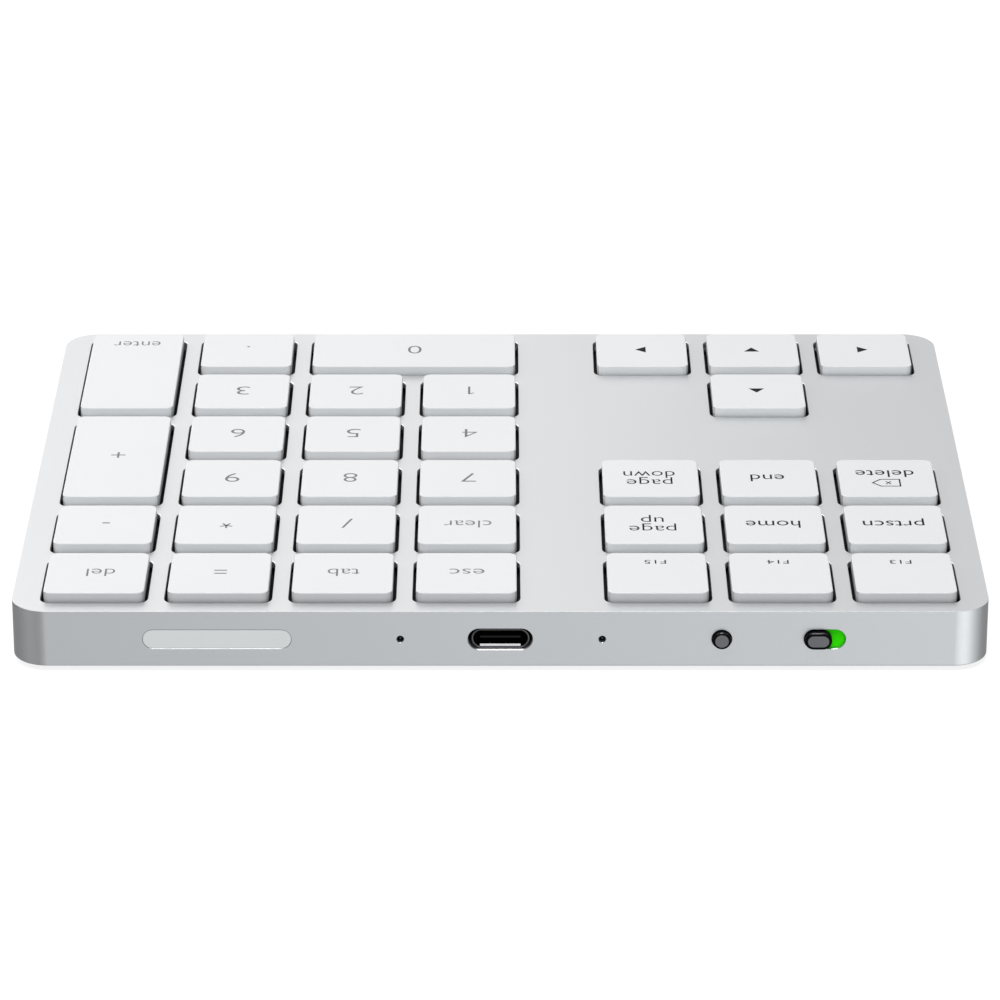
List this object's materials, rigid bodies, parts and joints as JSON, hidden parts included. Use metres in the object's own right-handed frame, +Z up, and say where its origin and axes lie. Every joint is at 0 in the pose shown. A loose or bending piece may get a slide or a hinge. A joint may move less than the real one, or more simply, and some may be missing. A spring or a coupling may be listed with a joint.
{
  "type": "numeric keypad",
  "caption": "Slim wireless numeric keypad with a navigation cluster: flat aluminium slab, low white scissor keys, and a rear wall with USB-C port, push button and slide switch.",
  "frame": {"origin": "middle of the bounding box's footprint, at the bottom of the feet", "axes": "X to the user's right along the long side, Y away from the user towards the wall with the ports, Z up"},
  "size_m": [0.15, 0.116, 0.0115],
  "materials": {
    "aluminium": "fine bead-blasted, anodised silver",
    "cover": "fine bead-blasted, anodised silver",
    "foot_rubber": "soft grey rubber",
    "keycap": "fine satin white, printed legends",
    "silicone": "translucent white silicone",
    "film": "clear polyester film with printed tracks",
    "steel": "plain galvanised sheet",
    "bar_steel": "plain spring wire",
    "board": "green solder mask",
    "shield": "tinned shield can on a small carrier",
    "battery": "foil pouch",
    "port_steel": "plain stainless steel",
    "black_plastic": "black moulding",
    "button_plastic": "dark grey, satin to gloss",
    "green_plastic": "bright green",
    "dark_lens": "smoked lens",
    "window_plastic": "pale satin plastic"
  },
  "bodies": {
    "case": {"top_case": "aluminium", "bottom_cover": "cover", "foot_front_left": "foot_rubber", "foot_front_right": "foot_rubber", "foot_rear_left": "foot_rubber", "foot_rear_right": "foot_rubber", "dome_sheet": "silicone", "membrane_sheet": "film", "support_plate": "steel", "main_board": "board", "wireless_module": "shield", "ribbon_cable": "film", "battery_pack": "battery", "usb_shell": "port_steel", "usb_tongue": "black_plastic", "power_switch_body": "black_plastic", "power_on_indicator": "green_plastic", "pairing_tact_switch": "black_plastic", "light_pipe_left": "dark_lens", "light_pipe_right": "dark_lens", "antenna_window": "window_plastic"},
    "power_knob": {"power_knob": "button_plastic"},
    "pairing_button": {"pairing_button": "button_plastic"},
    "key_f13": {"key_f13": "keycap"},
    "key_f14": {"key_f14": "keycap"},
    "key_f15": {"key_f15": "keycap"},
    "key_esc": {"key_esc": "keycap"},
    "key_tab": {"key_tab": "keycap"},
    "key_equals": {"key_equals": "keycap"},
    "key_del": {"key_del": "keycap"},
    "key_prtscn": {"key_prtscn": "keycap"},
    "key_home": {"key_home": "keycap"},
    "key_page_up": {"key_page_up": "keycap"},
    "key_clear": {"key_clear": "keycap"},
    "key_divide": {"key_divide": "keycap"},
    "key_multiply": {"key_multiply": "keycap"},
    "key_minus": {"key_minus": "keycap"},
    "key_delete": {"key_delete": "keycap"},
    "key_end": {"key_end": "keycap"},
    "key_page_down": {"key_page_down": "keycap"},
    "key_7": {"key_7": "keycap"},
    "key_8": {"key_8": "keycap"},
    "key_9": {"key_9": "keycap"},
    "key_4": {"key_4": "keycap"},
    "key_5": {"key_5": "keycap"},
    "key_6": {"key_6": "keycap"},
    "key_arrow_up": {"key_arrow_up": "keycap"},
    "key_1": {"key_1": "keycap"},
    "key_2": {"key_2": "keycap"},
    "key_3": {"key_3": "keycap"},
    "key_arrow_left": {"key_arrow_left": "keycap"},
    "key_arrow_down": {"key_arrow_down": "keycap"},
    "key_arrow_right": {"key_arrow_right": "keycap"},
    "key_decimal": {"key_decimal": "keycap"},
    "key_plus": {"key_plus": "keycap"},
    "key_enter": {"key_enter": "keycap"},
    "key_0": {"key_0": "keycap"},
    "stabiliser_0": {"stabiliser_0": "bar_steel"},
    "stabiliser_plus": {"stabiliser_plus": "bar_steel"},
    "stabiliser_enter": {"stabiliser_enter": "bar_steel"}
  },
  "joints": [
    {"name": "power_slide", "type": "slide", "parent": "case", "child": "power_knob", "axis": [-1, 0, 0], "range_m": [0, 0.002]},
    {"name": "pairing_press", "type": "slide", "parent": "case", "child": "pairing_button", "axis": [0, -1, 0], "range_m": [0, 0.00035], "stiffness_N_per_m": 600},
    {"name": "key_0_press", "type": "slide", "parent": "case", "child": "key_0", "axis": [0, 0, -1], "range_m": [0, 0.0012], "stiffness_N_per_m": 400, "deforming": ["dome_sheet"]},
    {"name": "key_plus_press", "type": "slide", "parent": "case", "child": "key_plus", "axis": [0, 0, -1], "range_m": [0, 0.0012], "stiffness_N_per_m": 400, "deforming": ["dome_sheet"]},
    {"name": "key_enter_press", "type": "slide", "parent": "case", "child": "key_enter", "axis": [0, 0, -1], "range_m": [0, 0.0012], "stiffness_N_per_m": 400, "deforming": ["dome_sheet"]},
    {"name": "key_esc_press", "type": "slide", "parent": "case", "child": "key_esc", "axis": [0, 0, -1], "range_m": [0, 0.0012], "stiffness_N_per_m": 400, "deforming": ["dome_sheet"]},
    {"name": "key_5_press", "type": "slide", "parent": "case", "child": "key_5", "axis": [0, 0, -1], "range_m": [0, 0.0012], "stiffness_N_per_m": 400, "deforming": ["dome_sheet"]},
    {"name": "key_arrow_left_press", "type": "slide", "parent": "case", "child": "key_arrow_left", "axis": [0, 0, -1], "range_m": [0, 0.0012], "stiffness_N_per_m": 400, "deforming": ["dome_sheet"]},
    {"name": "key_f13_press", "type": "slide", "parent": "case", "child": "key_f13", "axis": [0, 0, -1], "range_m": [0, 0.0012], "stiffness_N_per_m": 400, "deforming": ["dome_sheet"]},
    {"name": "key_f14_press", "type": "slide", "parent": "case", "child": "key_f14", "axis": [0, 0, -1], "range_m": [0, 0.0012], "stiffness_N_per_m": 400, "deforming": ["dome_sheet"]},
    {"name": "key_f15_press", "type": "slide", "parent": "case", "child": "key_f15", "axis": [0, 0, -1], "range_m": [0, 0.0012], "stiffness_N_per_m": 400, "deforming": ["dome_sheet"]},
    {"name": "key_tab_press", "type": "slide", "parent": "case", "child": "key_tab", "axis": [0, 0, -1], "range_m": [0, 0.0012], "stiffness_N_per_m": 400, "deforming": ["dome_sheet"]},
    {"name": "key_equals_press", "type": "slide", "parent": "case", "child": "key_equals", "axis": [0, 0, -1], "range_m": [0, 0.0012], "stiffness_N_per_m": 400, "deforming": ["dome_sheet"]},
    {"name": "key_del_press", "type": "slide", "parent": "case", "child": "key_del", "axis": [0, 0, -1], "range_m": [0, 0.0012], "stiffness_N_per_m": 400, "deforming": ["dome_sheet"]},
    {"name": "key_prtscn_press", "type": "slide", "parent": "case", "child": "key_prtscn", "axis": [0, 0, -1], "range_m": [0, 0.0012], "stiffness_N_per_m": 400, "deforming": ["dome_sheet"]},
    {"name": "key_home_press", "type": "slide", "parent": "case", "child": "key_home", "axis": [0, 0, -1], "range_m": [0, 0.0012], "stiffness_N_per_m": 400, "deforming": ["dome_sheet"]},
    {"name": "key_page_up_press", "type": "slide", "parent": "case", "child": "key_page_up", "axis": [0, 0, -1], "range_m": [0, 0.0012], "stiffness_N_per_m": 400, "deforming": ["dome_sheet"]},
    {"name": "key_clear_press", "type": "slide", "parent": "case", "child": "key_clear", "axis": [0, 0, -1], "range_m": [0, 0.0012], "stiffness_N_per_m": 400, "deforming": ["dome_sheet"]},
    {"name": "key_divide_press", "type": "slide", "parent": "case", "child": "key_divide", "axis": [0, 0, -1], "range_m": [0, 0.0012], "stiffness_N_per_m": 400, "deforming": ["dome_sheet"]},
    {"name": "key_multiply_press", "type": "slide", "parent": "case", "child": "key_multiply", "axis": [0, 0, -1], "range_m": [0, 0.0012], "stiffness_N_per_m": 400, "deforming": ["dome_sheet"]},
    {"name": "key_minus_press", "type": "slide", "parent": "case", "child": "key_minus", "axis": [0, 0, -1], "range_m": [0, 0.0012], "stiffness_N_per_m": 400, "deforming": ["dome_sheet"]},
    {"name": "key_delete_press", "type": "slide", "parent": "case", "child": "key_delete", "axis": [0, 0, -1], "range_m": [0, 0.0012], "stiffness_N_per_m": 400, "deforming": ["dome_sheet"]},
    {"name": "key_end_press", "type": "slide", "parent": "case", "child": "key_end", "axis": [0, 0, -1], "range_m": [0, 0.0012], "stiffness_N_per_m": 400, "deforming": ["dome_sheet"]},
    {"name": "key_page_down_press", "type": "slide", "parent": "case", "child": "key_page_down", "axis": [0, 0, -1], "range_m": [0, 0.0012], "stiffness_N_per_m": 400, "deforming": ["dome_sheet"]},
    {"name": "key_7_press", "type": "slide", "parent": "case", "child": "key_7", "axis": [0, 0, -1], "range_m": [0, 0.0012], "stiffness_N_per_m": 400, "deforming": ["dome_sheet"]},
    {"name": "key_8_press", "type": "slide", "parent": "case", "child": "key_8", "axis": [0, 0, -1], "range_m": [0, 0.0012], "stiffness_N_per_m": 400, "deforming": ["dome_sheet"]},
    {"name": "key_9_press", "type": "slide", "parent": "case", "child": "key_9", "axis": [0, 0, -1], "range_m": [0, 0.0012], "stiffness_N_per_m": 400, "deforming": ["dome_sheet"]},
    {"name": "key_4_press", "type": "slide", "parent": "case", "child": "key_4", "axis": [0, 0, -1], "range_m": [0, 0.0012], "stiffness_N_per_m": 400, "deforming": ["dome_sheet"]},
    {"name": "key_6_press", "type": "slide", "parent": "case", "child": "key_6", "axis": [0, 0, -1], "range_m": [0, 0.0012], "stiffness_N_per_m": 400, "deforming": ["dome_sheet"]},
    {"name": "key_arrow_up_press", "type": "slide", "parent": "case", "child": "key_arrow_up", "axis": [0, 0, -1], "range_m": [0, 0.0012], "stiffness_N_per_m": 400, "deforming": ["dome_sheet"]},
    {"name": "key_1_press", "type": "slide", "parent": "case", "child": "key_1", "axis": [0, 0, -1], "range_m": [0, 0.0012], "stiffness_N_per_m": 400, "deforming": ["dome_sheet"]},
    {"name": "key_2_press", "type": "slide", "parent": "case", "child": "key_2", "axis": [0, 0, -1], "range_m": [0, 0.0012], "stiffness_N_per_m": 400, "deforming": ["dome_sheet"]},
    {"name": "key_3_press", "type": "slide", "parent": "case", "child": "key_3", "axis": [0, 0, -1], "range_m": [0, 0.0012], "stiffness_N_per_m": 400, "deforming": ["dome_sheet"]},
    {"name": "key_arrow_down_press", "type": "slide", "parent": "case", "child": "key_arrow_down", "axis": [0, 0, -1], "range_m": [0, 0.0012], "stiffness_N_per_m": 400, "deforming": ["dome_sheet"]},
    {"name": "key_arrow_right_press", "type": "slide", "parent": "case", "child": "key_arrow_right", "axis": [0, 0, -1], "range_m": [0, 0.0012], "stiffness_N_per_m": 400, "deforming": ["dome_sheet"]},
    {"name": "key_decimal_press", "type": "slide", "parent": "case", "child": "key_decimal", "axis": [0, 0, -1], "range_m": [0, 0.0012], "stiffness_N_per_m": 400, "deforming": ["dome_sheet"]},
    {"name": "stabiliser_0_swing", "type": "hinge", "parent": "key_0", "child": "stabiliser_0", "pos_m": [0.01473, -0.04088, 0.00955], "axis": [-1, 0, 0], "range_deg": [0, 14.5]},
    {"name": "stabiliser_plus_swing", "type": "hinge", "parent": "key_plus", "child": "stabiliser_plus", "pos_m": [0.0685, -0.0005, 0.00955], "axis": [0, 1, 0], "range_deg": [0, 14.5]},
    {"name": "stabiliser_enter_swing", "type": "hinge", "parent": "key_enter", "child": "stabiliser_enter", "pos_m": [0.0685, -0.03756, 0.00955], "axis": [0, 1, 0], "range_deg": [0, 14.5]}
  ],
  "couplings": [
    {"joint": "stabiliser_0_swing", "follows": "key_0_press", "rad_per_m": 201.73},
    {"joint": "stabiliser_plus_swing", "follows": "key_plus_press", "rad_per_m": 201.73},
    {"joint": "stabiliser_enter_swing", "follows": "key_enter_press", "rad_per_m": 201.73}
  ]
}
